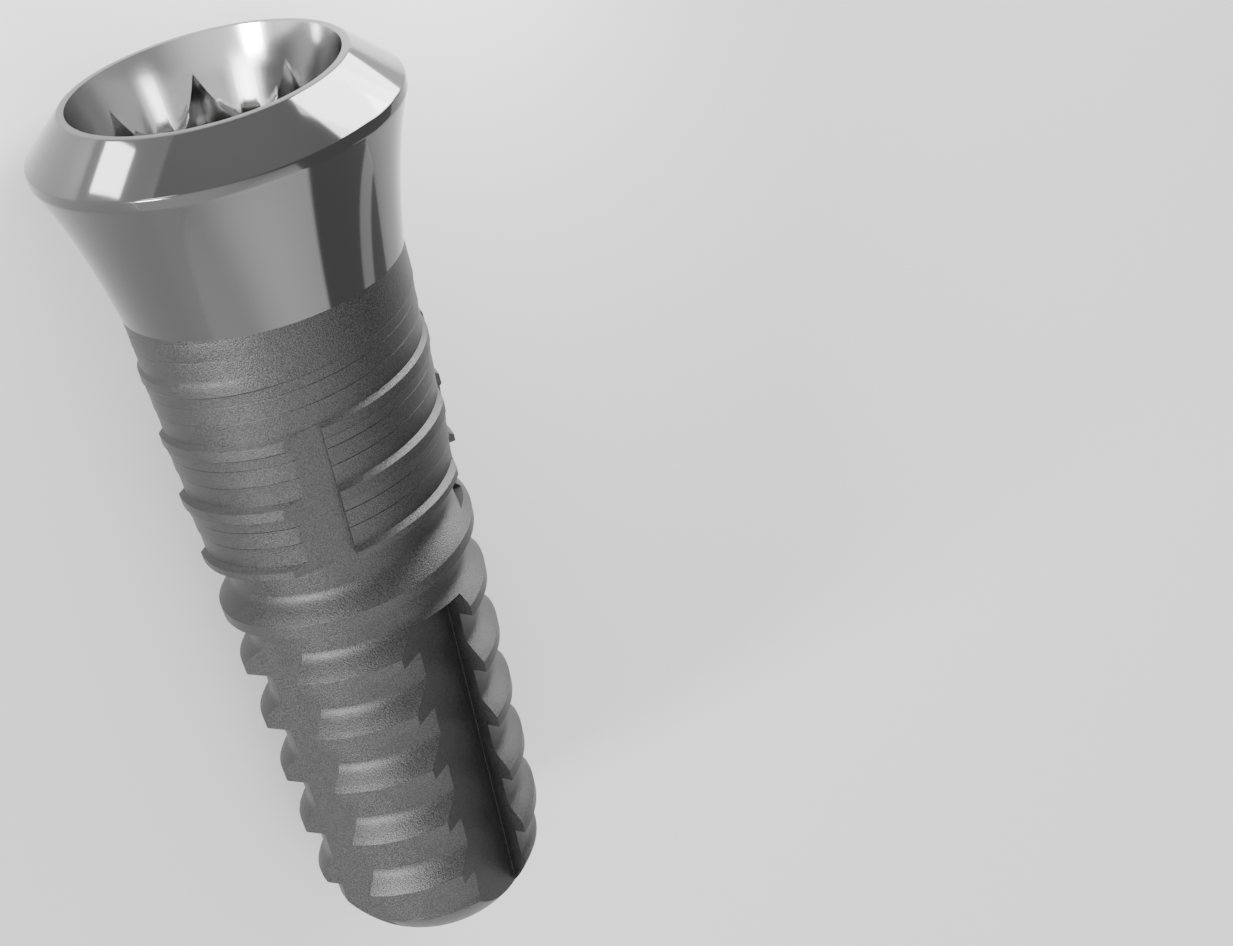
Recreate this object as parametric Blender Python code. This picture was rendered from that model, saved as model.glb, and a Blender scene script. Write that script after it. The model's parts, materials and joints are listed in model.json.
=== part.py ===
"""Dental implant: one titanium screw with a wide polished shoulder, an internal eight-pointed
socket and a tapered, single-start, right-handed thread cut by milled flutes.

It is drawn upright about its own axis, in millimetres. An empty then lays it on its side, as it
would come to rest, and scales it to metres. h is the depth below the flat land round the mouth,
and an azimuth is in degrees, counter-clockwise as seen from above the mouth.
"""

import math

import bmesh
import bpy
from mathutils import Matrix, Vector

for old in list(bpy.data.objects):
    bpy.data.objects.remove(old)

MM = 0.001

# Shoulder, bevel and neck
MOUTH_R = 1.740
LAND_WIDTH = 0.098
SHOULDER_R = 2.400
BEVEL_H = 0.534
BAND_LENGTH = 0.130
NECK_END_H = 2.660
NECK_END_R = 1.855
WAIST_H = 1.390
WAIST_R = 2.070
NECK_STEPS = 7

# Body envelope: the thread's crests, the domed apex, and the length from the land to the apex
PITCH = 0.915
FIRST_EDGE_H = 5.900
CREST_MAX_R = 1.852
CREST_LINE_R = 2.0403
CREST_TAPER = 0.0356
OVERALL_LENGTH = 12.885
DOME_R = 1.690

# Thread form: offsets from the crest's nominal edge (positive towards the apex) and how far each
# point stands from root (0) to crest (1), for the shallow and for the deep thread
SHALLOW_FORM = (
    (0.006, 0.0), (0.026, 0.33), (0.046, 0.67), (0.066, 1.0),
    (0.208, 1.0), (0.320, 0.46), (0.610, 0.25), (0.700, 0.02),
)
DEEP_FORM = (
    (-0.300, 0.0), (-0.190, 0.22), (-0.090, 0.74), (0.0, 1.0),
    (0.160, 1.0), (0.178, 0.0), (0.360, 0.0), (0.510, 0.0),
)
CREST_POINT = 3
THREAD_END_H = 12.350

# Roots: a straight taper in the shallow thread, and (depth, radius) places in the deep one
SHALLOW_ROOT_R = 1.8952
SHALLOW_ROOT_TAPER = 0.0247
DEEP_ROOT = ((6.65, 1.550), (7.58, 1.525), (8.44, 1.503), (9.34, 1.488), (11.15, 1.461), (13.0, 1.430))

# A groove lies between two teeth. It begins and deepens over these depths of its upper tooth
GROOVE_BEGINS_H = 2.250
GROOVE_FULL_H = 2.460
DEEPENS_START_H = 5.250
DEEPENS_END_H = 5.650

# Lower cutting flutes: a flat floor that deepens towards the apex and an undercut wall
FLUTE_COUNT = 4
FLUTE_AZ = 51.0
FLUTE_TOP_H = 7.430
FLUTE_FLOOR_TOP_R = 1.336
FLUTE_FLOOR_DEEPENS = 0.0293
FLUTE_RAKE = 25.0
FLUTE_FILLET = 0.130

# Upper notches: shallow flats with a radial wall, running out towards the head
NOTCH_COUNT = 4
NOTCH_AZ = 4.6
NOTCH_END_H = 6.500
NOTCH_FLOOR_END_R = 1.585
NOTCH_FLOOR_RISES = 0.0885
NOTCH_RUN = 3.200
NOTCH_REACH = 1.200

# Connection: cone, eight-pointed socket, well, countersink and screw bore
CONE_SLOPE = 0.230
SOCKET_DEPTH = 1.330
STAR_POINTS = 8
STAR_AZ = 4.0
STAR_TIP_R = 1.635
STAR_WAIST_R = 1.465
STAR_KEY_WIDTH = 0.270
STAR_KEY_DEPTH = 0.045
STAR_RUNOUT = 0.370
WELL_TAPER = 0.057
WELL_DEPTH = 3.070
SEAT_END_H = 3.740
SEAT_END_R = 0.900
BORE_R = 0.800
BORE_DEPTH = 7.500
DRILL_POINT_ANGLE = 59.0

# Mesh
SIDES = 60
BORE_SIDES = 40
DOME_STEPS = 4
ARC_STEPS = 4
CLEAR = 0.400
WELD = 2.0e-4

LAND_R = MOUTH_R + LAND_WIDTH
BAND_END_H = BEVEL_H + BAND_LENGTH
DOME_CENTRE_H = OVERALL_LENGTH - DOME_R


def smooth(value):
    t = min(max(value, 0.0), 1.0)
    return t * t * (3.0 - 2.0 * t)


def mix(a, b, t):
    return a + (b - a) * t


def crest_r(h):
    return min(CREST_MAX_R, CREST_LINE_R - CREST_TAPER * h)


def deep_root_r(h):
    """The deep root's radius, read along straight lines between its places."""
    above = DEEP_ROOT[0]
    for below in DEEP_ROOT:
        if h < below[0]:
            break
        above = below
    if below is above:
        return above[1]
    return mix(above[1], below[1], (h - above[0]) / (below[0] - above[0]))


def dome_r(h):
    return math.sqrt(max(DOME_R**2 - (h - DOME_CENTRE_H) ** 2, 0.0))


def thread_point(edge, number):
    """(h, r) of one point of the form on the tooth whose nominal edge is at this depth. The points
    up to the crest belong to the groove above the tooth, the rest to the groove below it."""
    groove = edge if number > CREST_POINT else edge - PITCH
    deep = smooth((groove - DEEPENS_START_H) / (DEEPENS_END_H - DEEPENS_START_H))
    begun = smooth((groove - GROOVE_BEGINS_H) / (GROOVE_FULL_H - GROOVE_BEGINS_H))
    shallow_point = SHALLOW_FORM[number]
    deep_point = DEEP_FORM[number]
    h = edge + mix(shallow_point[0], deep_point[0], deep)
    h = min(max(h, NECK_END_H), THREAD_END_H)
    share = 1.0 - begun * (1.0 - mix(shallow_point[1], deep_point[1], deep))
    root = mix(SHALLOW_ROOT_R - SHALLOW_ROOT_TAPER * h, deep_root_r(h), deep)
    r = mix(root, crest_r(h), share)
    return (h, min(r, dome_r(h)) if h > DOME_CENTRE_H else r)


def thread_column(azimuth, first, last):
    """(h, r) of every thread line at one azimuth, from the head to the apex."""
    column = []
    for tooth in range(first, last + 1):
        edge = FIRST_EDGE_H + PITCH * (tooth - azimuth / 360.0)
        column += [thread_point(edge, number) for number in range(len(DEEP_FORM))]
    return column


def outer_rings():
    """(h, r) of the plain rings above the thread."""
    rings = [(0.0, LAND_R), (BEVEL_H, SHOULDER_R), (BAND_END_H, SHOULDER_R)]
    for step in range(1, NECK_STEPS + 1):
        t = step / NECK_STEPS
        h = (1 - t) ** 2 * BAND_END_H + 2 * t * (1 - t) * WAIST_H + t * t * NECK_END_H
        r = (1 - t) ** 2 * SHOULDER_R + 2 * t * (1 - t) * WAIST_R + t * t * NECK_END_R
        rings.append((h, r))
    return rings


def point(h, r, azimuth):
    angle = math.radians(azimuth)
    return (r * math.cos(angle), r * math.sin(angle), -h)


def make_object(name, bm):
    bmesh.ops.remove_doubles(bm, verts=bm.verts, dist=WELD)
    bmesh.ops.dissolve_degenerate(bm, edges=bm.edges, dist=WELD)
    if bm.calc_volume(signed=True) < 0.0:
        bmesh.ops.reverse_faces(bm, faces=bm.faces)
    mesh = bpy.data.meshes.new(name)
    bm.to_mesh(mesh)
    bm.free()
    made = bpy.data.objects.new(name, mesh)
    bpy.context.scene.collection.objects.link(made)
    return made


def screw_blank():
    """The closed outside of the implant. The thread's lines wind on from tooth to tooth, so the
    last column joins the first one tooth further on."""
    first = math.floor((NECK_END_H - FIRST_EDGE_H) / PITCH) - 1
    last = math.ceil((THREAD_END_H - FIRST_EDGE_H) / PITCH) + 2
    per_tooth = len(DEEP_FORM)
    rings = outer_rings()
    azimuths = [360.0 * side / SIDES for side in range(SIDES)]
    columns = [rings + thread_column(azimuth, first, last) for azimuth in azimuths]
    bm = bmesh.new()
    grid = []
    for azimuth, column in zip(azimuths, columns):
        grid.append([bm.verts.new(point(h, r, azimuth)) for h, r in column])
    top = len(rings)
    length = len(columns[0])
    for side in range(SIDES):
        here = grid[side]
        there = grid[(side + 1) % SIDES]
        wraps = side + 1 == SIDES
        for row in range(top - 1):
            bm.faces.new((here[row], here[row + 1], there[row + 1], there[row]))
        bm.faces.new((here[top - 1], here[top], there[top], there[top - 1]))
        shift = per_tooth if wraps else 0
        for row in range(top, length - 1):
            a = there[max(row - shift, top)]
            b = there[max(row + 1 - shift, top)]
            if a is b:
                bm.faces.new((here[row], here[row + 1], a))
            else:
                bm.faces.new((here[row], here[row + 1], b, a))
    dome_start = math.acos((THREAD_END_H - DOME_CENTRE_H) / DOME_R)
    polar = [dome_start * (1 - step / DOME_STEPS) for step in range(1, DOME_STEPS)]
    previous = [column[-1] for column in grid]
    for angle in polar:
        h = DOME_CENTRE_H + DOME_R * math.cos(angle)
        ring = [bm.verts.new(point(h, DOME_R * math.sin(angle), azimuth)) for azimuth in azimuths]
        for side in range(SIDES):
            after = (side + 1) % SIDES
            bm.faces.new((previous[side], ring[side], ring[after], previous[after]))
        previous = ring
    tip = bm.verts.new(point(OVERALL_LENGTH, 0.0, 0.0))
    centre = bm.verts.new(point(0.0, 0.0, 0.0))
    for side in range(SIDES):
        after = (side + 1) % SIDES
        bm.faces.new((previous[side], tip, previous[after]))
        bm.faces.new((grid[side][0], grid[after][0], centre))
    return make_object("implant_body", bm)


def turned_cutter(name, profile, sides):
    """A closed solid of revolution from (h, r) points that start and end on the axis."""
    bm = bmesh.new()
    rings = []
    for h, r in profile:
        if r == 0.0:
            rings.append([bm.verts.new(point(h, 0.0, 0.0))] * sides)
        else:
            rings.append([bm.verts.new(point(h, r, 360.0 * side / sides)) for side in range(sides)])
    for upper, lower in zip(rings, rings[1:]):
        for side in range(sides):
            after = (side + 1) % sides
            corners = [upper[side], lower[side], lower[after], upper[after]]
            distinct = list(dict.fromkeys(corners))
            bm.faces.new(distinct)
    return make_object(name, bm)


def lofted_cutter(name, stacks):
    """Closed prisms in one object, each a stack of loops of (h, r, azimuth) from the head down."""
    bm = bmesh.new()
    for stack in stacks:
        loops = [[bm.verts.new(point(*place)) for place in loop] for loop in stack]
        count = len(loops[0])
        for above, below in zip(loops, loops[1:]):
            for corner in range(count):
                after = (corner + 1) % count
                bm.faces.new((above[corner], above[after], below[after]))
                bm.faces.new((above[corner], below[after], below[corner]))
        bm.faces.new(list(reversed(loops[0])))
        bm.faces.new(loops[-1])
    bmesh.ops.triangulate(bm, faces=bm.faces)
    return make_object(name, bm)


def local(h, x, y, azimuth):
    """A point given along and across a cutter's own direction, as (h, r, azimuth)."""
    return (h, math.hypot(x, y), azimuth + math.degrees(math.atan2(y, x)))


def well_r(h):
    return MOUTH_R - CONE_SLOPE * SOCKET_DEPTH - WELL_TAPER * (h - SOCKET_DEPTH)


def socket_cutter():
    drill_tip = BORE_DEPTH + BORE_R / math.tan(math.radians(DRILL_POINT_ANGLE))
    profile = [
        (-CLEAR, 0.0),
        (-CLEAR, MOUTH_R + CONE_SLOPE * CLEAR),
        (SOCKET_DEPTH, well_r(SOCKET_DEPTH)),
        (WELL_DEPTH, well_r(WELL_DEPTH)),
        (SEAT_END_H, SEAT_END_R),
        (SEAT_END_H + SEAT_END_R - BORE_R, BORE_R),
        (BORE_DEPTH, BORE_R),
        (drill_tip, 0.0),
    ]
    return turned_cutter("cutter_socket", profile, BORE_SIDES)


def star_outline():
    """(r, azimuth) round the eight-pointed socket: a point, an inward arc with a key slot at its
    middle, and so on."""
    half = 180.0 / STAR_POINTS
    chord_mid = STAR_TIP_R * math.cos(math.radians(half))
    half_chord = STAR_TIP_R * math.sin(math.radians(half))
    rise = chord_mid - STAR_WAIST_R
    arc_r = (half_chord**2 + rise**2) / (2.0 * rise)
    arc_centre = STAR_WAIST_R + arc_r
    key_angle = math.asin(0.5 * STAR_KEY_WIDTH / arc_r)
    end_angle = math.asin(half_chord / arc_r)
    outline = []
    for lobe in range(STAR_POINTS):
        middle = STAR_AZ + half + lobe * 2.0 * half
        outline.append((STAR_TIP_R, middle - half))
        for sign in (-1, 1):
            arc = []
            for step in range(ARC_STEPS):
                angle = mix(end_angle, key_angle, (step + 1) / ARC_STEPS)
                x = arc_centre - arc_r * math.cos(angle)
                y = sign * arc_r * math.sin(angle)
                arc.append((math.hypot(x, y), middle + math.degrees(math.atan2(y, x))))
            slot_x = STAR_WAIST_R + STAR_KEY_DEPTH
            slot_y = sign * 0.5 * STAR_KEY_WIDTH
            arc.append((math.hypot(slot_x, slot_y), middle + math.degrees(math.atan2(slot_y, slot_x))))
            outline.extend(arc if sign < 0 else reversed(arc))
    return outline


def star_cutter():
    """The star stays straight down to the socket's depth, then runs out into the well's wall."""
    outline = star_outline()
    end_h = SOCKET_DEPTH + STAR_RUNOUT
    end_r = well_r(end_h) - STAR_KEY_DEPTH
    upper = [(-CLEAR, r, azimuth) for r, azimuth in outline]
    lower = [(SOCKET_DEPTH, r, azimuth) for r, azimuth in outline]
    runout = [(end_h, end_r, azimuth) for r, azimuth in outline]
    return lofted_cutter("cutter_star", [(upper, lower, runout)])


def flute_floor_r(h):
    return FLUTE_FLOOR_TOP_R - FLUTE_FLOOR_DEEPENS * (h - FLUTE_TOP_H)


def flute_section(h, azimuth):
    """One cross-section of a flute's cutter: the floor, a filleted corner and the raked wall."""
    floor = flute_floor_r(h)
    rake = math.tan(math.radians(FLUTE_RAKE))
    edge = crest_r(h)
    outside = SHOULDER_R
    corner = Vector((floor, (edge - floor) * rake))
    along_floor = Vector((0.0, -1.0))
    along_wall = Vector((1.0, -rake)).normalized()
    start = corner + along_floor * FLUTE_FILLET
    end = corner + along_wall * FLUTE_FILLET
    places = [Vector((floor, -outside)), start]
    for t in (1 / 3, 2 / 3):
        places.append((1 - t) ** 2 * start + 2 * t * (1 - t) * corner + t * t * end)
    places += [end, Vector((outside, (edge - outside) * rake)), Vector((outside, -outside))]
    return [local(h, place.x, place.y, azimuth) for place in places]


def flute_cutter():
    pairs = []
    for flute in range(FLUTE_COUNT):
        azimuth = FLUTE_AZ + flute * 360.0 / FLUTE_COUNT
        pairs.append((flute_section(FLUTE_TOP_H, azimuth), flute_section(OVERALL_LENGTH + CLEAR, azimuth)))
    return pairs


def notch_section(h, azimuth):
    floor = NOTCH_FLOOR_END_R + NOTCH_FLOOR_RISES * (NOTCH_END_H - h)
    outside = SHOULDER_R
    corners = [(floor, -NOTCH_REACH), (floor, 0.0), (outside, 0.0), (outside, -NOTCH_REACH)]
    return [local(h, x, y, azimuth) for x, y in corners]


def notch_cutter():
    pairs = []
    for notch in range(NOTCH_COUNT):
        azimuth = NOTCH_AZ + notch * 360.0 / NOTCH_COUNT
        pairs.append((notch_section(NOTCH_END_H - NOTCH_RUN, azimuth), notch_section(NOTCH_END_H, azimuth)))
    return pairs


def titanium():
    material = bpy.data.materials.new("titanium")
    material.use_nodes = True
    shader = material.node_tree.nodes["Principled BSDF"]
    shader.inputs["Base Color"].default_value = (0.42, 0.42, 0.42, 1.0)
    shader.inputs["Metallic"].default_value = 1.0
    shader.inputs["Roughness"].default_value = 0.35
    return material


def crest_corners(on_floor):
    """The crest corners of the deep teeth along one edge of the flute that faces down, as
    (h, r, azimuth): the edge where its floor comes out, or the one where its wall does."""
    corners = []
    for tooth in range(1, math.ceil((OVERALL_LENGTH - FIRST_EDGE_H) / PITCH) + 1):
        for number in (CREST_POINT, CREST_POINT + 1):
            azimuth = FLUTE_AZ + 180.0
            h, r = thread_point(FIRST_EDGE_H + PITCH * (tooth - azimuth / 360.0), number)
            for _ in range(4 if on_floor else 0):
                azimuth = FLUTE_AZ + 180.0 - math.degrees(math.acos(min(flute_floor_r(h) / r, 1.0)))
                h, r = thread_point(FIRST_EDGE_H + PITCH * (tooth - azimuth / 360.0), number)
            corners.append((h, r, azimuth))
    return corners


def resting_turn():
    """Turns the upright implant onto the rim of its shoulder and two corners beside a flute, with
    the apex towards +X. It also gives the tilt and the azimuth that faces down, in degrees."""
    by_wall = crest_corners(False)
    by_floor = crest_corners(True)

    def first_slope(corners, down):
        slopes = []
        for h, r, azimuth in corners:
            lean = r * math.cos(math.radians(azimuth - down))
            slopes.append((SHOULDER_R - lean) / (h - BAND_END_H))
        return min(slopes)

    low = FLUTE_AZ + 135.0
    high = FLUTE_AZ + 180.0
    for _ in range(60):
        down = 0.5 * (low + high)
        if first_slope(by_wall, down) > first_slope(by_floor, down):
            low = down
        else:
            high = down
    tilt = math.degrees(math.atan(first_slope(by_wall, down)))
    roll = Matrix.Rotation(math.radians(180.0 - down), 4, "Z")
    return Matrix.Rotation(math.radians(tilt - 90.0), 4, "Y") @ roll, tilt, down


body = screw_blank()
body.data.materials.append(titanium())
cutters = [
    socket_cutter(),
    star_cutter(),
    lofted_cutter("cutter_flutes", flute_cutter()),
    lofted_cutter("cutter_notches", notch_cutter()),
]
pose, rest_tilt, down_azimuth = resting_turn()
rest = bpy.data.objects.new("implant_rest", None)
bpy.context.scene.collection.objects.link(rest)
for made in [body, *cutters]:
    made.parent = rest

for cutter in cutters:
    cutter.hide_render = True
    cutter.display_type = "WIRE"
    cut = body.modifiers.new(cutter.name, "BOOLEAN")
    cut.operation = "DIFFERENCE"
    cut.solver = "EXACT"
    cut.object = cutter

# Stand the lowest corner on z = 0 and centre the box on the origin
bpy.context.view_layer.update()
finished = body.evaluated_get(bpy.context.evaluated_depsgraph_get())
laid = [pose @ v.co for v in finished.to_mesh().vertices]
finished.to_mesh_clear()
low = Vector([min(v[axis] for v in laid) for axis in range(3)])
high = Vector([max(v[axis] for v in laid) for axis in range(3)])
centring = Vector((-0.5 * (low.x + high.x), -0.5 * (low.y + high.y), -low.z)) * MM
rest.matrix_world = Matrix.Translation(centring) @ pose @ Matrix.Scale(MM, 4)

body.data.shade_smooth()
body.data.set_sharp_from_angle(angle=math.radians(28.0))
print(f"tilt {rest_tilt:.4f} deg, down azimuth {down_azimuth:.4f} deg")
print(f"{len(laid)} points, box {[round(value, 3) for value in high - low]} mm")
print("pose:", [[round(value, 6) for value in row] for row in Matrix.Translation(centring) @ pose])
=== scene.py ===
# %% [markdown]
# # A dental implant in Blender
#
# A dental implant is one small titanium screw, about 13 mm long. A wide polished collar carries
# the crown, and below it a blasted and acid-etched body is screwed into the bone. This lesson
# builds the parts a machinist would name: the turned collar, the socket inside it, the threaded
# body with its cutting flutes, and the fine thread for the little screw that holds the crown.
#
# It says where the implant lies and how large it is, and each piece made here takes the place
# of its one plain solid.

# %% Load the CAD frame
import json
import math

import bmesh
import bpy
from mathutils import Matrix, Quaternion, Vector

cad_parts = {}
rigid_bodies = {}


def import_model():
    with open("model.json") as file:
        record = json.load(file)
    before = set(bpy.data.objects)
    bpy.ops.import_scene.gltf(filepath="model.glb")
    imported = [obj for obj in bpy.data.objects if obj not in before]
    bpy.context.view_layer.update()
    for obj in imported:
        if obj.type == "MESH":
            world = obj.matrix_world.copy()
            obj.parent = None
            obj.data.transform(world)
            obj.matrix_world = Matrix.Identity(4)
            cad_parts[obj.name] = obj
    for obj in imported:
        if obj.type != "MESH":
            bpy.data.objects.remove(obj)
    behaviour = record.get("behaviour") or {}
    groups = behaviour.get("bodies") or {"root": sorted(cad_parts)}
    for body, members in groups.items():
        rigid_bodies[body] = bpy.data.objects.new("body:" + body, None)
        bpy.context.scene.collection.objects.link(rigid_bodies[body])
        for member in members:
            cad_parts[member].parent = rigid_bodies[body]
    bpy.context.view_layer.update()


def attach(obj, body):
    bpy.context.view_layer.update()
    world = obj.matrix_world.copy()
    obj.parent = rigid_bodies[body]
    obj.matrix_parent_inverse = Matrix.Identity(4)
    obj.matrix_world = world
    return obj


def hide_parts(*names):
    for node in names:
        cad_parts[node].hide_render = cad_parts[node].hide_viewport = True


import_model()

# %% [markdown]
# ## Sizes
#
# Everything is drawn upright in millimetres, with the mouth's flat land at height 0 and the apex
# below it. `h` is a depth below the land, and an azimuth is an angle round the axis. Working in
# millimetres keeps Blender's merging and its Booleans away from their smallest distances, which
# is why the implant isn't drawn in metres from the start.

# %% Sizes
MM = 0.001
MOUTH_R, LAND_R, SHOULDER_R = 1.740, 1.838, 2.400
BEVEL_H, BAND_END_H = 0.534, 0.664
NECK_END_H, NECK_END_R = 2.660, 1.855
WAIST_H, WAIST_R = 1.390, 2.070
PITCH, FIRST_EDGE_H = 0.915, 5.900
DOME_R, DOME_CENTRE_H = 1.690, 11.195
APEX_H = DOME_CENTRE_H + DOME_R
CREST_MAX_R, CREST_LINE_R, CREST_TAPER = 1.852, 2.0403, 0.0356
print(f"length {APEX_H:.2f} mm, collar {2 * SHOULDER_R:.1f} mm across")

# %% [markdown]
# ## From upright to lying
#
# The finished implant lies on the rim of its collar and on two thread corners, so its axis leans
# a little towards the apex. Each piece could be modelled in that slanted place, but then no
# profile would be round about an axis of Blender's. One matrix takes every upright point to its
# place in the CAD frame instead, at the very end.

# %% The resting place
TILT = math.radians(4.6665)
DOWN_AZ = math.radians(209.7401)
REST_SHIFT = Vector((-6.346, 0.0, 2.446))
lying = (
    Matrix.Scale(MM, 4)
    @ Matrix.Translation(REST_SHIFT)
    @ Matrix.Rotation(TILT - math.radians(90.0), 4, "Y")
    @ Matrix.Rotation(math.radians(180.0) - DOWN_AZ, 4, "Z")
)
print("the apex lies at", [round(value, 4) for value in lying @ Vector((0.0, 0.0, -APEX_H))])

# %% Points, skins and turned solids
WELD = 1e-4


def at(h, r, azimuth):
    """An upright point from its depth, radius and azimuth in degrees."""
    angle = math.radians(azimuth)
    return Vector((r * math.cos(angle), r * math.sin(angle), -h))


def mix(a, b, t):
    return a + (b - a) * t


def new_object(name, bm):
    """Turns a finished bmesh into an object, with its faces pointing outwards."""
    bmesh.ops.remove_doubles(bm, verts=bm.verts, dist=WELD)
    bmesh.ops.dissolve_degenerate(bm, edges=bm.edges, dist=WELD)
    if bm.calc_volume(signed=True) < 0.0:
        bmesh.ops.reverse_faces(bm, faces=bm.faces)
    mesh = bpy.data.meshes.new(name)
    bm.to_mesh(mesh)
    bm.free()
    made = bpy.data.objects.new(name, mesh)
    bpy.context.scene.collection.objects.link(made)
    return made


def skin(name, columns):
    """A closed skin from columns of points that all run from one end of the axis to the other."""
    bm = bmesh.new()
    grid = [[bm.verts.new(place) for place in column] for column in columns]
    for here, there in zip(grid, grid[1:] + grid[:1]):
        for row in range(len(here) - 1):
            bm.faces.new((here[row], here[row + 1], there[row + 1], there[row]))
    return new_object(name, bm)


def turned(name, profile, sides):
    """A solid of revolution from (h, r) points that start and end on the axis."""
    columns = [[at(h, r, 360.0 * side / sides) for h, r in profile] for side in range(sides)]
    return skin(name, columns)


# %% [markdown]
# ## Metals
#
# The whole screw is commercially pure titanium. Only its surface differs. The collar is turned and
# polished, so it mirrors the room. The socket is turned and milled, and is left bright. The body
# is blasted with grit, which leaves dimples a few hundredths of a millimetre wide, and is then
# etched in acid, which adds pits too fine to see. Together they scatter light to a dark, even
# grey with a slight sparkle.
#
# Dimples could be real geometry, but there are millions of them. A noise at their own size drives
# bump, roughness and colour together, so each dimple looks the same to the light in all three.

# %% Colours and nodes


def colour(hex_code):
    """The linear value of an sRGB hex colour."""
    parts = [int(hex_code[i : i + 2], 16) / 255.0 for i in (1, 3, 5)]
    linear = [part / 12.92 if part <= 0.04045 else ((part + 0.055) / 1.055) ** 2.4 for part in parts]
    return (*linear, 1.0)


def add(tree, kind, inputs=None, **settings):
    """Adds a node, sets its properties, and fills or links its inputs."""
    node = tree.nodes.new(kind)
    for name, value in settings.items():
        setattr(node, name, value)
    for key, value in (inputs or {}).items():
        if isinstance(value, bpy.types.Node):
            value = value.outputs[0]
        if isinstance(value, bpy.types.NodeSocket):
            tree.links.new(value, node.inputs[key])
        else:
            node.inputs[key].default_value = value
    return node


# A Mix node has sockets for every type of data. These are the places of the two we use
COLOUR_A, COLOUR_B, COLOUR_RESULT = 6, 7, 2
VECTOR_A, VECTOR_B, VECTOR_RESULT = 4, 5, 1

# %% The three finishes


def metal(name, base, roughness):
    material = bpy.data.materials.new(name)
    material.use_nodes = True
    shader = material.node_tree.nodes["Principled BSDF"]
    shader.inputs["Base Color"].default_value = colour(base)
    shader.inputs["Metallic"].default_value = 1.0
    shader.inputs["Roughness"].default_value = roughness
    return material, material.node_tree, shader


polished, _, _ = metal("polished titanium", "#5e5e5e", 0.08)
bright, _, _ = metal("fine-turned titanium", "#b6b6b6", 0.14)
blasted, tree, shader = metal("blasted and etched titanium", "#4b4b4b", 0.42)

# %% Dimples in the blasted finish
# A dimple's width and depth. The etched pits in it are far finer, too fine to show, so the same
# noise stands for both
DIMPLE_MM, DIMPLE_DEPTH_MM = 0.018, 0.012
place = add(tree, "ShaderNodeTexCoord").outputs["Object"]
grain = add(
    tree, "ShaderNodeTexNoise", {"Vector": place, "Scale": 1.0 / (DIMPLE_MM * MM), "Detail": 3.0}
)
bump = add(
    tree, "ShaderNodeBump", {"Height": grain, "Strength": 0.6, "Distance": DIMPLE_DEPTH_MM * MM}
)
tone = add(
    tree,
    "ShaderNodeMapRange",
    {"Value": grain, "From Min": 0.3, "From Max": 0.7, "To Min": 0.34, "To Max": 0.56},
)
share = add(tree, "ShaderNodeMapRange", {"Value": grain, "From Min": 0.36, "From Max": 0.64})
speck = add(
    tree,
    "ShaderNodeMix",
    {"Factor": share, COLOUR_A: colour("#3e3e3e"), COLOUR_B: colour("#565656")},
    data_type="RGBA",
)
tree.links.new(bump.outputs[0], shader.inputs["Normal"])
tree.links.new(tone.outputs[0], shader.inputs["Roughness"])
tree.links.new(speck.outputs[COLOUR_RESULT], shader.inputs["Base Color"])
print("metals:", [material.name for material in (polished, bright, blasted)])

# %% [markdown]
# ## The socket's shape
#
# The socket is cut by one tool. Its mouth is a cone that seats the abutment. Below it an
# eight-pointed star takes the driver: each side of the star bows inwards and has a small key slot
# at its middle. Where the straight star walls come out through the cone they leave pointed
# arches.
#
# Two tools, a cone and a star, would leave those arches to a Boolean. Here every column of one
# tool finds the depth where its own wall meets the cone, so the arches are real edges of the mesh.

# %% The socket's sizes
CONE_SLOPE, ABOVE_LAND_H = 0.230, -0.4
SOCKET_H, RUNOUT_H = 1.330, 1.700
STAR_POINTS, STAR_AZ = 8, 4.0
STAR_TIP_R, STAR_WAIST_R = 1.635, 1.465
KEY_WIDTH, KEY_R, KEY_EDGE = 0.270, 1.510, 0.006
RUNOUT_R = 1.425
BORE_WALL_R, BORE_R, BORE_END_H, DRILL_POINT_H = 0.885, 0.800, 7.500, 0.53
ARC_STEPS, CONE_STEPS, WALL_STEPS, RUNOUT_STEPS = 12, 10, 5, 4
# The well below the star and the countersink, as (depth, radius)
WELL = [(2.040, 1.420), (3.070, 1.332), (3.740, 0.960), (3.860, BORE_WALL_R)]

# %% The socket tool


def star_columns():
    """(azimuth, radius) round the star, with both corners of each key slot."""
    half = 180.0 / STAR_POINTS
    half_chord = STAR_TIP_R * math.sin(math.radians(half))
    rise = STAR_TIP_R * math.cos(math.radians(half)) - STAR_WAIST_R
    arc_r = (half_chord**2 + rise**2) / (2.0 * rise)
    ys = [half_chord * (1.0 - step / ARC_STEPS) + 0.5 * KEY_WIDTH * step / ARC_STEPS
          for step in range(ARC_STEPS + 1)]
    side = [(STAR_WAIST_R + arc_r - math.sqrt(arc_r**2 - y * y), y) for y in ys]
    side += [(KEY_R, 0.5 * KEY_WIDTH - KEY_EDGE), (KEY_R, 0.25 * KEY_WIDTH), (KEY_R, 0.0)]
    lobe = [(x, -y) for x, y in side] + [(x, y) for x, y in reversed(side[1:-1])]
    columns = []
    for number in range(STAR_POINTS):
        middle = STAR_AZ + half + number * 2.0 * half
        columns += [(middle + math.degrees(math.atan2(y, x)), math.hypot(x, y)) for x, y in lobe]
    return columns


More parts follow.
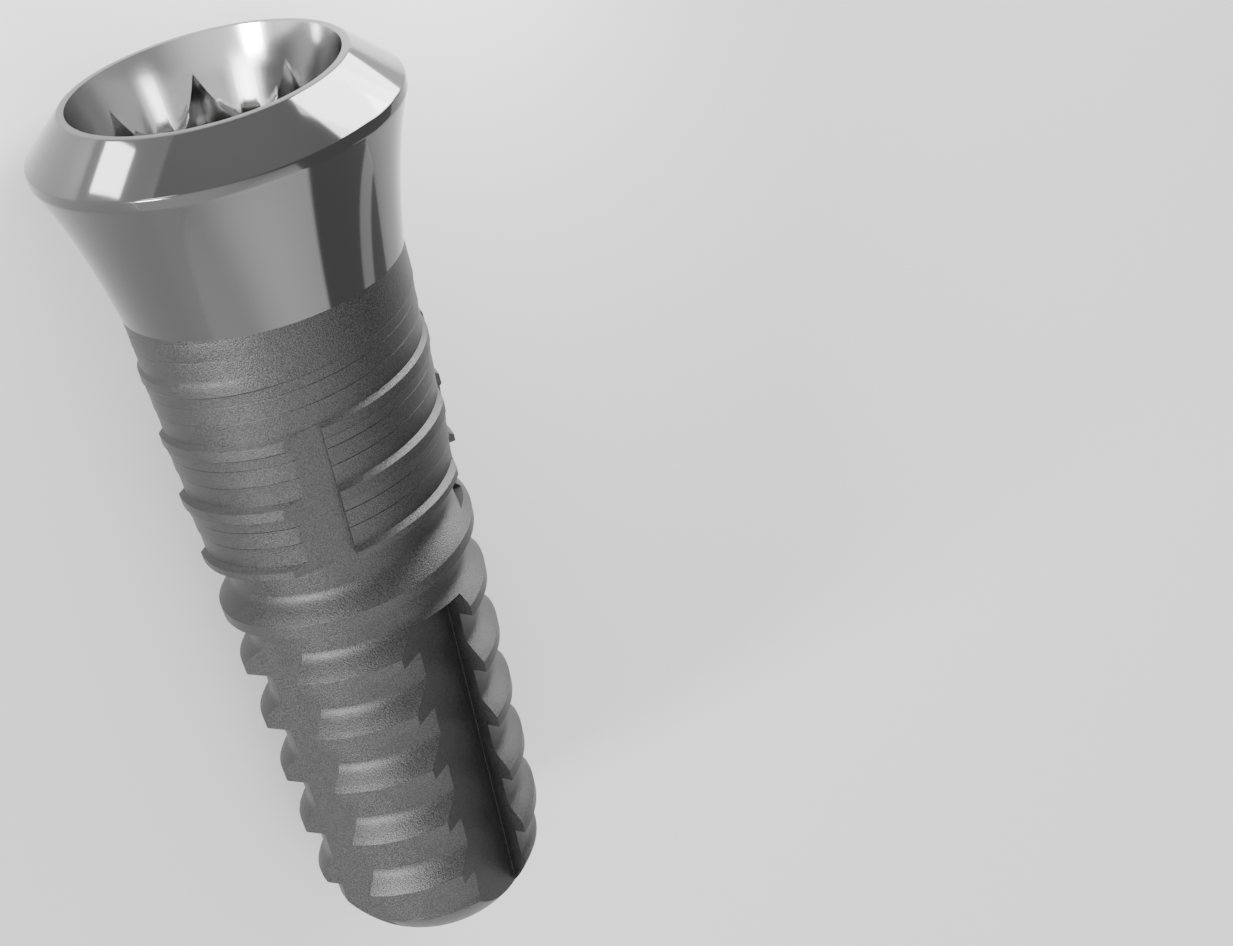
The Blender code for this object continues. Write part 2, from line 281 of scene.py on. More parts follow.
def socket_column(azimuth, star_r):
    meet_h = (MOUTH_R - star_r) / CONE_SLOPE
    cone = [mix(ABOVE_LAND_H, meet_h, step / CONE_STEPS) for step in range(CONE_STEPS + 1)]
    wall = [step / WALL_STEPS for step in range(1, WALL_STEPS + 1)]
    runout = [step / RUNOUT_STEPS for step in range(1, RUNOUT_STEPS + 1)]
    places = [(ABOVE_LAND_H, 0.0)]
    places += [(h, MOUTH_R - CONE_SLOPE * h) for h in cone]
    places += [(mix(meet_h, SOCKET_H, t), star_r) for t in wall]
    places += [(mix(SOCKET_H, RUNOUT_H, t), mix(star_r, RUNOUT_R, t)) for t in runout]
    places += [*WELL, (BORE_END_H, BORE_WALL_R), (BORE_END_H + DRILL_POINT_H, 0.0)]
    return [at(h, r, azimuth) for h, r in places]


socket_tool = skin("socket_tool", [socket_column(azimuth, r) for azimuth, r in star_columns()])
socket_tool.data.materials.append(bright)
print("socket tool:", len(socket_tool.data.polygons), "faces")

# %% [markdown]
# ## The collar
#
# The collar is turned on a lathe, so it is a profile swept round the axis: the flat land, a
# 45-degree bevel, a short cylindrical band and the concave neck. Each corner is broken by a few
# hundredths of a millimetre, as a polished edge is, and catches a thin line of light. A Bevel
# modifier could break them too, but in a profile each corner costs three points and no more.

# %% Turn the collar
EDGE, COLLAR_SIDES, NECK_STEPS = 0.018, 288, 40


def neck(t):
    h = (1 - t) ** 2 * BAND_END_H + 2 * t * (1 - t) * WAIST_H + t * t * NECK_END_H
    r = (1 - t) ** 2 * SHOULDER_R + 2 * t * (1 - t) * WAIST_R + t * t * NECK_END_R
    return Vector((h, r))


def broken(before, corner, after, size=EDGE, steps=3):
    """Rounds one corner of a profile with a short quadratic curve."""
    before, corner, after = Vector(before), Vector(corner), Vector(after)
    start = corner + (before - corner).normalized() * size
    end = corner + (after - corner).normalized() * size
    ts = [step / steps for step in range(steps + 1)]
    return [(1 - t) ** 2 * start + 2 * t * (1 - t) * corner + t * t * end for t in ts]


land, bevel_end, band_end = (0.0, LAND_R), (BEVEL_H, SHOULDER_R), (BAND_END_H, SHOULDER_R)
collar_profile = [Vector((0.0, 0.0))]
collar_profile += broken((0.0, 0.0), land, bevel_end)
collar_profile += broken(land, bevel_end, band_end)
collar_profile += broken(bevel_end, band_end, neck(2 / NECK_STEPS))
collar_profile += [neck(step / NECK_STEPS) for step in range(2, NECK_STEPS + 1)]
collar_profile.append(Vector((NECK_END_H, 0.0)))
collar = turned("collar", collar_profile, COLLAR_SIDES)
collar.data.materials.append(polished)
print("collar:", len(collar.data.polygons), "faces")

# %% [markdown]
# ## The threaded body
#
# A thread is a rule: one tooth outline, carried round the axis and dropped by one pitch for each
# turn. A Screw modifier can do that for one outline, but here the outline changes on the way, so
# Geometry Nodes state the rule instead. A flat sheet has one column for each step round the axis
# and one row for each point of the tooth outline, tooth after tooth. Each point asks which tooth
# and which outline point it is, works out its depth and radius, and moves there. The rows then
# run along the helix, so the crests stay crisp edges.
#
# Two small outlines are drawn as points. The shallow tooth near the neck has a steep upper flank
# and a narrow land, and falls away behind it in a long slope with fine turned lines. The deep
# tooth that holds the bone rises in a hollow foot and a straight flank to a sharp corner, has a
# narrow land, and drops straight back. The tree blends from one to the other within half a turn.

# %% Tooth outlines: along the axis in mm, and height from root (0) to crest (1)
CREST_POINT = 8
SHALLOW = [
    (0.006, 0.00), (0.014, 0.12), (0.022, 0.25), (0.030, 0.38), (0.037, 0.50), (0.044, 0.62),
    (0.051, 0.75), (0.058, 0.88), (0.066, 1.00), (0.138, 1.00), (0.208, 1.00), (0.230, 0.62),
    (0.245, 0.60), (0.290, 0.54), (0.366, 0.48), (0.376, 0.20), (0.386, 0.32), (0.420, 0.30),
    (0.620, 0.27), (0.630, 0.00), (0.640, 0.11), (0.700, 0.04), (0.880, 0.00),
]
DEEP = [
    (-0.340, 0.00), (-0.300, 0.03), (-0.265, 0.09), (-0.230, 0.18), (-0.190, 0.32), (-0.145, 0.49),
    (-0.100, 0.66), (-0.050, 0.84), (0.000, 1.00), (0.080, 1.00), (0.160, 1.00), (0.164, 0.78),
    (0.168, 0.54), (0.172, 0.30), (0.178, 0.06), (0.192, 0.00), (0.240, 0.00), (0.300, 0.00),
    (0.360, 0.00), (0.410, 0.00), (0.460, 0.00), (0.510, 0.00), (0.570, 0.00),
]


def outline_points(name, places):
    mesh = bpy.data.meshes.new(name)
    mesh.from_pydata([(x, y, 0.0) for x, y in places], [], [])
    made = bpy.data.objects.new(name, mesh)
    bpy.context.scene.collection.objects.link(made)
    return made


shallow_outline = outline_points("shallow_outline", SHALLOW)
deep_outline = outline_points("deep_outline", DEEP)
print("outline points:", len(SHALLOW), len(DEEP))

# %% Roots, and where a groove begins and deepens
SHALLOW_ROOT_R, SHALLOW_ROOT_TAPER = 1.8952, 0.0247
DEEP_ROOT = [
    (2.66, 1.600), (5.90, 1.575), (6.65, 1.550), (7.58, 1.525), (8.44, 1.503), (9.34, 1.488),
    (11.15, 1.461), (13.0, 1.430),
]
GROOVE_BEGINS_H, GROOVE_FULL_H = 2.25, 2.46
DEEPENS_START_H, DEEPENS_END_H = 5.25, 5.65
# A Float Curve node runs from 0 to 1 both ways, so depths and radii are divided by these
CURVE_SPAN_H, CURVE_SPAN_R = 13.0, 2.0

# %% The thread's inputs


def new_tree(name, inputs):
    """A Geometry Nodes tree with named inputs, and the sockets that give their values inside."""
    made = bpy.data.node_groups.new(name, "GeometryNodeTree")
    for label, (socket_type, _) in inputs.items():
        made.interface.new_socket(label, in_out="INPUT", socket_type=socket_type)
    made.interface.new_socket("Geometry", in_out="OUTPUT", socket_type="NodeSocketGeometry")
    given = add(made, "NodeGroupInput").outputs
    return made, {label: given[label] for label in inputs}


THREAD_INPUTS = {
    "Shallow outline": ("NodeSocketObject", shallow_outline),
    "Deep outline": ("NodeSocketObject", deep_outline),
    "Points per tooth": ("NodeSocketInt", len(DEEP)),
    "Teeth": ("NodeSocketInt", 14),
    "First tooth": ("NodeSocketInt", -4),
    "Steps round": ("NodeSocketInt", 240),
    "Pitch": ("NodeSocketFloat", PITCH),
    "First deep edge": ("NodeSocketFloat", FIRST_EDGE_H),
    "Groove begins": ("NodeSocketFloat", GROOVE_BEGINS_H),
    "Groove is full": ("NodeSocketFloat", GROOVE_FULL_H),
    "Starts to deepen": ("NodeSocketFloat", DEEPENS_START_H),
    "Has deepened": ("NodeSocketFloat", DEEPENS_END_H),
    "Shallow root radius": ("NodeSocketFloat", SHALLOW_ROOT_R),
    "Shallow root taper": ("NodeSocketFloat", SHALLOW_ROOT_TAPER),
    "Crest line radius": ("NodeSocketFloat", CREST_LINE_R),
    "Crest taper": ("NodeSocketFloat", CREST_TAPER),
    "Largest crest radius": ("NodeSocketFloat", CREST_MAX_R),
    "Top": ("NodeSocketFloat", NECK_END_H),
    "Apex": ("NodeSocketFloat", APEX_H),
    "Dome radius": ("NodeSocketFloat", DOME_R),
    "Metal": ("NodeSocketMaterial", blasted),
}
thread_tree, known = new_tree("Tapered thread", THREAD_INPUTS)
print("inputs:", len(known))

# %% The nodes that aren't arithmetic
flat_place = add(thread_tree, "GeometryNodeInputPosition")
sheet = add(thread_tree, "GeometryNodeMeshGrid", {"Size X": 1.0})
flat = add(thread_tree, "ShaderNodeSeparateXYZ", {0: flat_place})
outlines = []
for label in ("Shallow outline", "Deep outline"):
    drawn = add(thread_tree, "GeometryNodeObjectInfo", {"Object": known[label]})
    inputs = {"Geometry": drawn.outputs["Geometry"], "Value": flat_place}
    outlines.append(add(thread_tree, "GeometryNodeSampleIndex", inputs, data_type="FLOAT_VECTOR"))
ramps = []
for start, end in (("Groove begins", "Groove is full"), ("Starts to deepen", "Has deepened")):
    inputs = {"From Min": known[start], "From Max": known[end]}
    ramps.append(add(thread_tree, "ShaderNodeMapRange", inputs, interpolation_type="SMOOTHSTEP"))
begins, deepens = ramps
inputs = {"Factor": deepens, VECTOR_A: outlines[0], VECTOR_B: outlines[1]}
blend = add(thread_tree, "ShaderNodeMix", inputs, data_type="VECTOR")
form = add(thread_tree, "ShaderNodeSeparateXYZ", {0: blend.outputs[VECTOR_RESULT]})
root_curve = add(thread_tree, "ShaderNodeFloatCurve")
root_points = root_curve.mapping.curves[0].points
while len(root_points) < len(DEEP_ROOT):
    root_points.new(0.5, 0.5)
for point, (h, r) in zip(root_points, DEEP_ROOT):
    point.location = (h / CURVE_SPAN_H, r / CURVE_SPAN_R)
    point.handle_type = "AUTO_CLAMPED"
root_curve.mapping.update()
moved = add(thread_tree, "ShaderNodeCombineXYZ")
known.update({"flat x": flat.outputs["X"], "flat y": flat.outputs["Y"], "root curve": root_curve})
known.update({"form along": form.outputs["X"], "form height": form.outputs["Y"]})
known.update({"begins": begins, "deepens": deepens})

# %% [markdown]
# ## The thread's arithmetic
#
# Each line of the tables below is one Math node: what it works out, its operation, and one or two
# values. A value is a number, or the name of an input or of an earlier line. The names become the
# nodes' labels, so the tree in the editor reads like the tables.

# %% Which tooth, which point of its outline, and how deep it lies
WHERE = [
    ("rows", "MULTIPLY", "Teeth", "Points per tooth"),
    ("last row", "SUBTRACT", "rows", 1.0),
    ("columns", "ADD", "Steps round", 1.0),
    ("turn", "ADD", "flat x", 0.5),
    ("half the rows", "MULTIPLY", "last row", 0.5),
    ("row place", "ADD", "flat y", "half the rows"),
    ("row", "ROUND", "row place"),
    ("row middle", "ADD", "row", 0.5),
    ("teeth so far", "DIVIDE", "row middle", "Points per tooth"),
    ("tooth", "FLOOR", "teeth so far"),
    ("points so far", "MULTIPLY", "tooth", "Points per tooth"),
    ("point", "SUBTRACT", "row", "points so far"),
    ("number", "ADD", "tooth", "First tooth"),
    ("turns down", "SUBTRACT", "number", "turn"),
    ("drop", "MULTIPLY", "turns down", "Pitch"),
    ("edge", "ADD", "drop", "First deep edge"),
]
# Each groove has its own depth, and it belongs to the tooth above it and to the flank below it
GROOVE = [
    ("on the flank", "LESS_THAN", "point", CREST_POINT + 0.5),
    ("one tooth up", "MULTIPLY", "on the flank", "Pitch"),
    ("groove", "SUBTRACT", "edge", "one tooth up"),
    ("under the crest", "SUBTRACT", 1.0, "form height"),
    ("sunk", "MULTIPLY", "begins", "under the crest"),
    ("stands", "SUBTRACT", 1.0, "sunk"),
    ("outline depth", "ADD", "edge", "form along"),
    ("kept below top", "MAXIMUM", "outline depth", "Top"),
]
# Rows pass the apex by TIP, and this squeezes them so that the dome's tip stays round
TIP = 0.5
SQUEEZE = [
    ("to apex", "SUBTRACT", "Apex", "kept below top"),
    ("and tip", "ADD", "to apex", TIP),
    ("not past tip", "MAXIMUM", "and tip", 0.0),
    ("its square", "POWER", "not past tip", 2.0),
    ("squeezed", "DIVIDE", "its square", 4.0 * TIP),
    ("near apex", "LESS_THAN", "to apex", TIP),
    ("elsewhere", "SUBTRACT", 1.0, "near apex"),
    ("squeezed share", "MULTIPLY", "squeezed", "near apex"),
    ("plain share", "MULTIPLY", "to apex", "elsewhere"),
    ("left to apex", "ADD", "squeezed share", "plain share"),
    ("depth", "SUBTRACT", "Apex", "left to apex"),
]
print("steps to the depth:", len(WHERE) + len(GROOVE) + len(SQUEEZE))

# %% How far from the axis it stands
RADIUS = [
    ("curve place", "DIVIDE", "depth", CURVE_SPAN_H),
    ("deep root", "MULTIPLY", "root curve", CURVE_SPAN_R),
    ("shallow taper", "MULTIPLY", "depth", "Shallow root taper"),
    ("shallow root", "SUBTRACT", "Shallow root radius", "shallow taper"),
    ("deeper by", "SUBTRACT", "deep root", "shallow root"),
    ("deepened by", "MULTIPLY", "deeper by", "deepens"),
    ("root", "ADD", "shallow root", "deepened by"),
    ("crest falls by", "MULTIPLY", "depth", "Crest taper"),
    ("crest line", "SUBTRACT", "Crest line radius", "crest falls by"),
    ("crest", "MINIMUM", "crest line", "Largest crest radius"),
    ("tooth height", "SUBTRACT", "crest", "root"),
    ("raised by", "MULTIPLY", "tooth height", "stands"),
    ("thread radius", "ADD", "root", "raised by"),
]
# Above its centre the dome limits nothing, so its radius there is made larger than any crest
NOTHING, FAR = 0.0001, 9.0
DOME = [
    ("dome centre", "SUBTRACT", "Apex", "Dome radius"),
    ("from centre", "SUBTRACT", "depth", "dome centre"),
    ("into dome", "MAXIMUM", "from centre", 0.0),
    ("dome square", "POWER", "Dome radius", 2.0),
    ("depth square", "POWER", "into dome", 2.0),
    ("difference", "SUBTRACT", "dome square", "depth square"),
    ("not negative", "MAXIMUM", "difference", 0.0),
    ("dome section", "SQRT", "not negative"),
    ("above dome", "LESS_THAN", "into dome", NOTHING),
    ("set far", "MULTIPLY", "above dome", FAR),
    ("dome", "ADD", "dome section", "set far"),
    ("inside dome", "MINIMUM", "thread radius", "dome"),
]
# The first row lies on the axis and closes the top. The rest go round it
ROUND = [
    ("past first row", "GREATER_THAN", "row", 0.5),
    ("radius", "MULTIPLY", "inside dome", "past first row"),
    ("angle", "MULTIPLY", "turn", 2.0 * math.pi),
    ("cosine", "COSINE", "angle"),
    ("sine", "SINE", "angle"),
    ("x", "MULTIPLY", "radius", "cosine"),
    ("y", "MULTIPLY", "radius", "sine"),
    ("z", "MULTIPLY", "depth", -1.0),
]
print("steps to the place:", len(RADIUS) + len(DOME) + len(ROUND))

# %% Make the Math nodes and link the others to them
for label, operation, *values in WHERE + GROOVE + SQUEEZE + RADIUS + DOME + ROUND:
    inputs = {key: known.get(value, value) for key, value in enumerate(values)}
    known[label] = add(thread_tree, "ShaderNodeMath", inputs, operation=operation, label=label)
FEEDS = [
    (sheet, "Size Y", "last row"), (sheet, "Vertices X", "columns"), (sheet, "Vertices Y", "rows"),
    (outlines[0], "Index", "point"), (outlines[1], "Index", "point"),
    (begins, "Value", "groove"), (deepens, "Value", "groove"), (root_curve, "Value", "curve place"),
    (moved, "X", "x"), (moved, "Y", "y"), (moved, "Z", "z"),
]
for node, key, label in FEEDS:
    thread_tree.links.new(known[label].outputs[0], node.inputs[key])
wrapped = add(thread_tree, "GeometryNodeSetPosition", {"Geometry": sheet, "Position": moved})
seam = {"Geometry": wrapped, "Distance": 2.0 * WELD}
joined = add(thread_tree, "GeometryNodeMergeByDistance", seam)
real = add(thread_tree, "GeometryNodeRealizeInstances", {"Geometry": joined})
coated = add(thread_tree, "GeometryNodeSetMaterial", {"Geometry": real, "Material": known["Metal"]})
add(thread_tree, "NodeGroupOutput", {0: coated})
print("tree:", len(thread_tree.nodes), "nodes")

# %% Run the tree and keep its mesh


def baked(thing):
    """The evaluated mesh of an object, with its modifiers' work in it."""
    bpy.context.view_layer.update()
    graph = bpy.context.evaluated_depsgraph_get()
    return bpy.data.meshes.new_from_object(thing.evaluated_get(graph), depsgraph=graph)


def grown(name, tree, inputs):
    """The mesh a tree makes, as a plain object."""
    host = bpy.data.objects.new(name + "_host", bpy.data.meshes.new(name + "_host"))
    bpy.context.scene.collection.objects.link(host)
    modifier = host.modifiers.new(name, "NODES")
    modifier.node_group = tree
    for item in tree.interface.items_tree:
        if item.in_out == "INPUT":
            modifier[item.identifier] = inputs[item.name][1]
    host.update_tag()
    result = baked(host)
    bpy.data.objects.remove(host)
    made = bpy.data.objects.new(name, result)
    bpy.context.scene.collection.objects.link(made)
    return made


body = grown("threaded_body", thread_tree, THREAD_INPUTS)
for helper in (shallow_outline, deep_outline):
    bpy.data.objects.remove(helper)

# %% Close it and turn its faces outwards
# Where rows are merged a sliver may be left standing on its neighbours, with one edge of its own
bm = bmesh.new()
bm.from_mesh(body.data)
bmesh.ops.dissolve_degenerate(bm, edges=bm.edges, dist=WELD)
slivers = {edge.link_faces[0] for edge in bm.edges if len(edge.link_faces) == 1}
bmesh.ops.delete(bm, geom=list(slivers), context="FACES")
if bm.calc_volume(signed=True) < 0.0:
    bmesh.ops.reverse_faces(bm, faces=bm.faces)
open_edges = sum(len(edge.link_faces) != 2 for edge in bm.edges)
bm.to_mesh(body.data)
bm.free()
print("threaded body:", len(body.data.polygons), "faces,", open_edges, "open edges")

# %% [markdown]
# ## Flutes and notches
#
# Four flutes are milled along the lower half. Each has a flat floor and a wall that leans back
# under the thread, so that the teeth end in sharp cutting corners. Higher up, four shallow
# notches do the same for the fine thread. Both are straight cuts on the real machine too, so each
# tool is two loops of points with faces between them, and a Boolean does the milling.

# %% Sizes of the flutes and notches
FLUTE_AZ, FLUTE_TOP_H, FLUTE_FLOOR_R, FLUTE_DEEPENS = 51.0, 7.430, 1.336, 0.0293
FLUTE_RAKE, FLUTE_FILLET = math.tan(math.radians(12.0)), 0.006
NOTCH_AZ, NOTCH_TOP_H, NOTCH_END_H, NOTCH_FLOOR_R, NOTCH_RISES = 4.6, 3.3, 6.5, 1.585, 0.0885
# How far the tools reach out past the crests, sideways away from their walls, and past the apex
CLEAR_R, FLUTE_REACH, NOTCH_REACH, BELOW_APEX = 2.4, 2.4, 1.2, 0.4
CUTS, FILLET_STEPS = 4, 6
print(f"flutes from {FLUTE_TOP_H} mm down, notches from {NOTCH_TOP_H} to {NOTCH_END_H} mm")

# %% Milling tools


def crest_r(h):
    return min(CREST_MAX_R, CREST_LINE_R - CREST_TAPER * h)


def flute_loop(h):
    """The flute's section as (along, across) its own direction: floor, filleted corner, wall."""
    floor = FLUTE_FLOOR_R - FLUTE_DEEPENS * (h - FLUTE_TOP_H)
    reach = crest_r(h)
    before = Vector((floor, -FLUTE_REACH))
    corner = Vector((floor, (reach - floor) * FLUTE_RAKE))
    after = Vector((CLEAR_R, (reach - CLEAR_R) * FLUTE_RAKE))
    rounded = broken(before, corner, after, FLUTE_FILLET, FILLET_STEPS)
    return [before, *rounded, after, Vector((CLEAR_R, -FLUTE_REACH))]


def notch_loop(h):
    floor = NOTCH_FLOOR_R + NOTCH_RISES * (NOTCH_END_H - h)
    corners = [(floor, -NOTCH_REACH), (floor, 0.0), (CLEAR_R, 0.0), (CLEAR_R, -NOTCH_REACH)]
    return [Vector(corner) for corner in corners]


def milling_tool(name, loop, top, end, first_azimuth):
    bm = bmesh.new()
    for number in range(CUTS):
        middle = first_azimuth + 360.0 / CUTS * number
        rings = []
        for h in (top, end):
            places = [at(h, v.length, middle + math.degrees(math.atan2(v.y, v.x))) for v in loop(h)]
            rings.append([bm.verts.new(place) for place in places])
        upper, lower = rings
        for i in range(len(upper)):
            j = (i + 1) % len(upper)
            bm.faces.new((upper[i], upper[j], lower[j], lower[i]))
        bm.faces.new(list(reversed(upper)))
        bm.faces.new(lower)
    bmesh.ops.triangulate(bm, faces=bm.faces)
    made = new_object(name, bm)
    made.data.materials.append(blasted)
    return made


flute_tool = milling_tool("flute_tool", flute_loop, FLUTE_TOP_H, APEX_H + BELOW_APEX, FLUTE_AZ)
notch_tool = milling_tool("notch_tool", notch_loop, NOTCH_TOP_H, NOTCH_END_H, NOTCH_AZ)
print("milling tools:", len(flute_tool.data.polygons), len(notch_tool.data.polygons), "faces")

# %% Cut both parts
SHARP = math.radians(24.0)


def cut(thing, *tools):
    """Cuts the tools out of the thing and keeps each tool's own metal on the faces it leaves.
    Then it lays the piece down and smooths it up to its real edges."""
    for tool in tools:
        modifier = thing.modifiers.new(tool.name, "BOOLEAN")
        modifier.operation = "DIFFERENCE"
        modifier.solver = "EXACT"
        modifier.material_mode = "TRANSFER"
        modifier.object = tool
        mesh = baked(thing)
        thing.modifiers.clear()
        thing.data = mesh
    mesh.transform(lying)
    mesh.shade_smooth()
    mesh.set_sharp_from_angle(angle=SHARP)
    print(thing.name, sum(len(face.vertices) - 2 for face in mesh.polygons), "triangles")


cut(collar, socket_tool)
cut(body, flute_tool, notch_tool, socket_tool)
for tool in (socket_tool, flute_tool, notch_tool):
    bpy.data.objects.remove(tool)

# %% [markdown]
# ## The screw thread in the bore
#
# The bore holds the crown's screw. Its thread is far finer than the bone thread and never changes,
# so it needs no sheet: it is a single ridge swept along a helix. A spiral curve carries a small
# triangle that points inwards.

# %% Sweep the bore's thread
BORE_PITCH, BORE_TOP_H, RIDGE_FOOT = 0.250, 3.900, 0.012
BORE_INPUTS = {
    "Turns": ("NodeSocketFloat", (BORE_END_H - BORE_TOP_H) / BORE_PITCH - 0.5),
    "Pitch": ("NodeSocketFloat", BORE_PITCH),
    "Wall radius": ("NodeSocketFloat", BORE_WALL_R + RIDGE_FOOT),
    "Ridge": ("NodeSocketFloat", BORE_WALL_R + RIDGE_FOOT - BORE_R),
    "Top": ("NodeSocketFloat", BORE_TOP_H),
    "Metal": ("NodeSocketMaterial", bright),
}
tree, given = new_tree("Internal thread", BORE_INPUTS)
height = add(tree, "ShaderNodeMath", {0: given["Turns"], 1: given["Pitch"]}, operation="MULTIPLY")
inputs = {"Resolution": 64, "Rotations": given["Turns"], "Height": height}
inputs |= {"Start Radius": given["Wall radius"], "End Radius": given["Wall radius"]}
spiral = add(tree, "GeometryNodeCurveSpiral", inputs)
upright = add(tree, "GeometryNodeSetCurveNormal", {"Curve": spiral}, mode="Z_UP")
inputs = {"Resolution": 3, "Radius": given["Ridge"]}
triangle = add(tree, "GeometryNodeCurvePrimitiveCircle", inputs)
inputs = {"Curve": upright, "Profile Curve": triangle, "Fill Caps": True}
ridge = add(tree, "GeometryNodeCurveToMesh", inputs)
bottom = add(tree, "ShaderNodeMath", {0: given["Top"], 1: height}, operation="ADD")
down = add(tree, "ShaderNodeMath", {0: bottom, 1: -1.0}, operation="MULTIPLY")
offset = add(tree, "ShaderNodeCombineXYZ", {"Z": down})
lowered = add(tree, "GeometryNodeTransform", {"Geometry": ridge, "Translation": offset})
real = add(tree, "GeometryNodeRealizeInstances", {"Geometry": lowered})
coated = add(tree, "GeometryNodeSetMaterial", {"Geometry": real, "Material": given["Metal"]})
add(tree, "NodeGroupOutput", {0: coated})
bore_thread = grown("bore_thread", tree, BORE_INPUTS)
bore_thread.data.transform(lying)
print("bore thread:", len(bore_thread.data.polygons), "faces")

# %% [markdown]
# ## Hand the pieces to the frame
#
# The implant is one rigid body, so all pieces ride on `root`. Together they replace the plain CAD
# solid.

# %% Attach
for piece in (collar, body, bore_thread):
    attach(piece, "root")
    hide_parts("implant_body")
print("attached:", [piece.name for piece in (collar, body, bore_thread)])

# %% [markdown]
# ## Floor, light and camera
#
# Polished metal shows the room rather than itself, so the light is part of the finish. An even
# sky would leave the collar flat and grey. Here a dim room grows brighter towards three sides,
# which shades the neck from one side to the other. Soft panels do the rest: cards close to the
# collar stand as pale windows on its bevel, and a far key light draws one thin bright line in
# the hollow foot of each deep tooth.
#
# The camera is placed round the upright implant and laid down with it. That way it keeps the
# photograph's angle to the implant, which would be hard to find for an implant that leans.

# %% Floor
FLOOR_REACH = 0.35
floor_mesh = bpy.data.meshes.new("floor")
corners = [(-1, -1), (1, -1), (1, 1), (-1, 1)]
floor_mesh.from_pydata([(x * FLOOR_REACH, y * FLOOR_REACH, 0) for x, y in corners], [], [(0, 1, 2, 3)])
floor = bpy.data.objects.new("floor", floor_mesh)
bpy.context.scene.collection.objects.link(floor)
paint, _, paint_shader = metal("matt pale board", "#f4f4f4", 0.9)
paint_shader.inputs["Metallic"].default_value = 0.0
floor_mesh.materials.append(paint)
print("floor:", 2.0 * FLOOR_REACH, "m square")

# %% The room's own light
world = bpy.data.worlds.new("studio")
bpy.context.scene.world = world
world.use_nodes = True
tree = world.node_tree
direction = add(tree, "ShaderNodeTexCoord").outputs["Generated"]
# Each glow grows towards one side of the room: its direction, where it starts and its gain
GLOWS = [((0.35, -0.87, 0.30), 0.15, 1.50), ((0.82, 0.26, 0.51), 0.60, 2.00), ((-1.0, 0.0, 0.1), 0.40, 0.58)]
EVEN_LIGHT = 0.52
glows = []
for aim, start, gain in GLOWS:
    inputs = {0: direction, 1: Vector(aim).normalized()}
    towards = add(tree, "ShaderNodeVectorMath", inputs, operation="DOT_PRODUCT")
    inputs = {"Value": towards.outputs["Value"], "From Min": start, "From Max": 1.0, "To Max": gain}
    glows.append(add(tree, "ShaderNodeMapRange", inputs, interpolation_type="SMOOTHSTEP"))
left_side, lamp, mouth_side = glows
print("glows:", len(glows))

# %% A crisp edge for the lamp's glow, and the sum of all
inputs = {0: direction, 1: (-0.317, 0.948, 0.0)}
past = add(tree, "ShaderNodeVectorMath", inputs, operation="DOT_PRODUCT")
inputs = {"Value": past.outputs["Value"], "From Min": -0.01, "From Max": 0.02}
edge = add(tree, "ShaderNodeMapRange", inputs | {"To Min": 1.0, "To Max": 0.0})
cropped = add(tree, "ShaderNodeMath", {0: lamp, 1: edge}, operation="MULTIPLY")
sides = add(tree, "ShaderNodeMath", {0: left_side, 1: cropped}, operation="ADD")
rest = add(tree, "ShaderNodeMath", {0: mouth_side, 1: EVEN_LIGHT}, operation="ADD")
level = add(tree, "ShaderNodeMath", {0: sides, 1: rest}, operation="ADD")
tree.links.new(level.outputs[0], tree.nodes["Background"].inputs["Strength"])
tree.nodes["Background"].inputs["Color"].default_value = colour("#fdfdfd")

# %% Soft panels


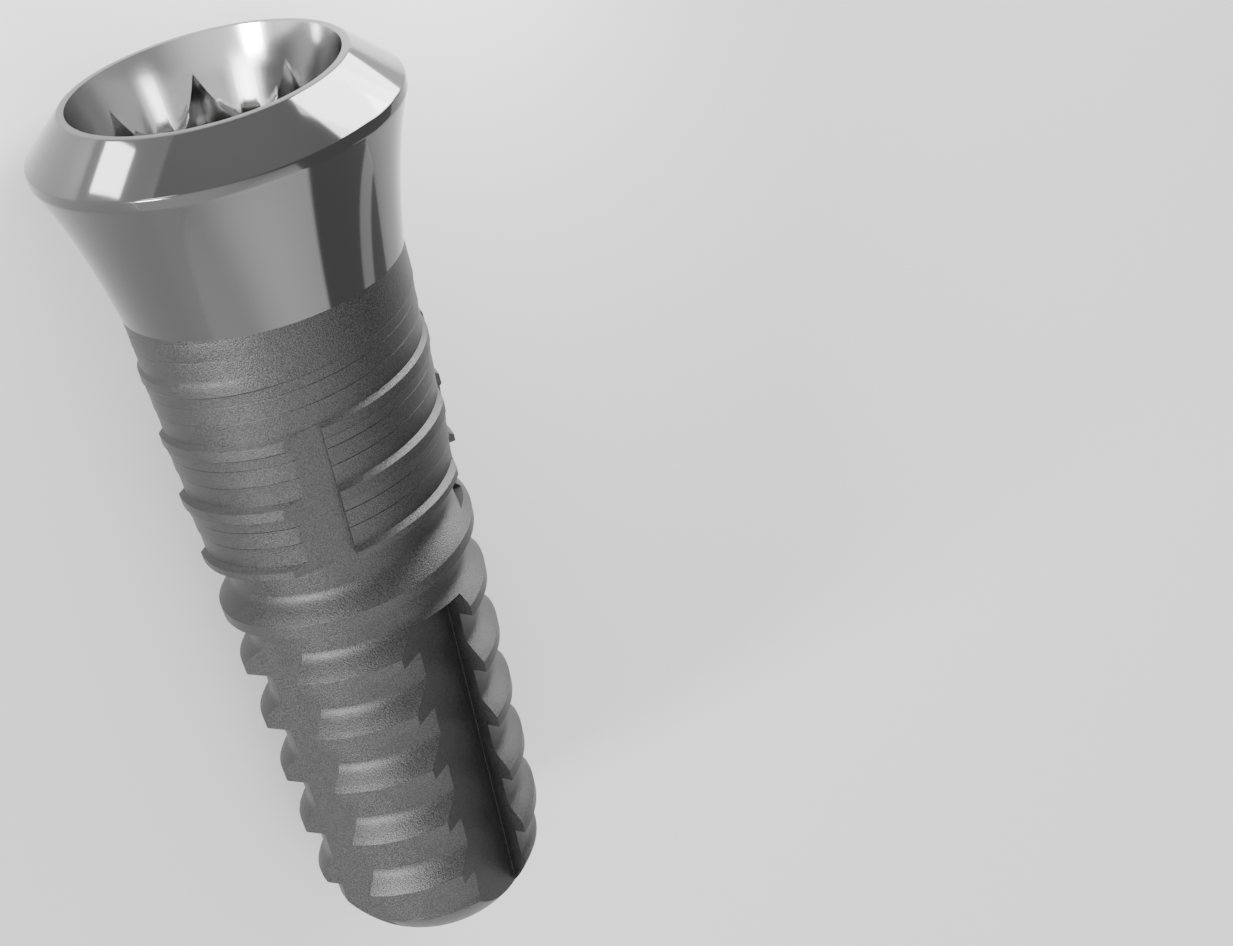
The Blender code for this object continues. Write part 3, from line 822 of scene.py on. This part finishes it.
def soft_panel(name, place, aim, width, height, radiance, roll):
    """A rectangular lamp, in millimetres round the lying implant. Its power follows from how bright
    its face is, so a panel can change size without changing what the metal mirrors."""
    lamp = bpy.data.lights.new(name, "AREA")
    lamp.shape = "RECTANGLE"
    lamp.size, lamp.size_y = width * MM, height * MM
    lamp.energy = radiance * math.pi * lamp.size * lamp.size_y
    made = bpy.data.objects.new(name, lamp)
    bpy.context.scene.collection.objects.link(made)
    made.location = Vector(place) * MM
    made.visible_camera = False
    facing = (Vector(aim) - Vector(place)).to_track_quat("-Z", "Y")
    made.rotation_euler = (facing @ Quaternion((0.0, 0.0, 1.0), math.radians(roll))).to_euler()


COLLAR, MIDDLE = (-6.0, 0.0, 2.8), (0.0, 0.0, 2.4)
# Name, place, what it faces, width, height, radiance, roll in degrees
PANELS = [
    ("low strip", (-9.56, -4.24, 1.33), (-6.0, -2.0, 3.2), 1.5, 1.7, 25.0, 0.0),
    ("near card", (-10.13, 6.37, 4.55), (-5.78, 1.92, 4.75), 7.8, 3.2, 20.0, 45.0),
    ("side card", (-19.0, 17.0, 6.3), COLLAR, 17.0, 12.0, 8.0, 0.0),
    ("key", (-38.0, -387.0, 80.0), MIDDLE, 70.0, 104.0, 100.0, 0.0),
    ("left light", (12.0, -390.0, 80.0), MIDDLE, 120.0, 160.0, 5.0, 0.0),
    ("front card", (-280.0, -280.0, 42.0), MIDDLE, 110.0, 120.0, 8.0, 0.0),
    ("back card", (-132.0, 372.0, 62.0), MIDDLE, 170.0, 150.0, 14.0, 0.0),
    ("streak", (37.0, 47.0, 17.0), COLLAR, 6.0, 28.0, 1.0, 0.0),
]
for panel in PANELS:
    soft_panel(*panel)
print("panels:", len(PANELS))

# %% Camera
# Where the photograph's camera stands round the upright implant, and its right and up
CAMERA_PLACE = Vector((30.9682, 0.0, 10.0819))
CAMERA_RIGHT = Vector((0.228330, 0.952354, -0.202208))
CAMERA_UP = Vector((-0.433953, 0.285475, 0.854511))
lay_down = lying.to_3x3() * (1.0 / MM)
right = (lay_down @ CAMERA_RIGHT).normalized()
up = (lay_down @ CAMERA_UP).normalized()
facing = Matrix((right, up, right.cross(up))).transposed().to_4x4()
lens = bpy.data.cameras.new("photo_camera")
lens.lens, lens.sensor_width = 76.369, 36.0
lens.clip_start, lens.clip_end = 0.001, 10.0
camera = bpy.data.objects.new("photo_camera", lens)
bpy.context.scene.collection.objects.link(camera)
camera.matrix_world = Matrix.Translation(lying @ CAMERA_PLACE) @ facing
bpy.context.scene.camera = camera
print("camera at", [round(value, 4) for value in camera.location])
